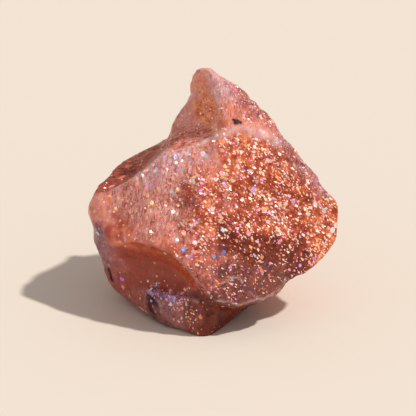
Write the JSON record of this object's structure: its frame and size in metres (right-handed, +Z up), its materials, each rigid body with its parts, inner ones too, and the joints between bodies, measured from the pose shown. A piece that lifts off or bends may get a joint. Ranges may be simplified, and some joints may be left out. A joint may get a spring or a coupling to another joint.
{
  "type": "rough sunstone",
  "caption": "Small rough piece of sunstone: a pointed horn over a broad flat sparkling face, a stepped ledge with a hollow below it, and a small foot it rests on.",
  "frame": {"origin": "under the middle of the stone's box, on the plane it rests on", "axes": "+Z up from the flat spot to the horn; -Y towards the viewer of the big sparkling face; +X to the viewer's right"},
  "size_m": [0.03, 0.0234, 0.0308],
  "materials": {
    "sunstone": "translucent orange to dark red feldspar with lilac-pink streaks, glassy broken faces, and bright cream, gold, pink and lilac platelets inside"
  },
  "bodies": {
    "root": {"sunstone": "sunstone"}
  },
  "joints": []
}
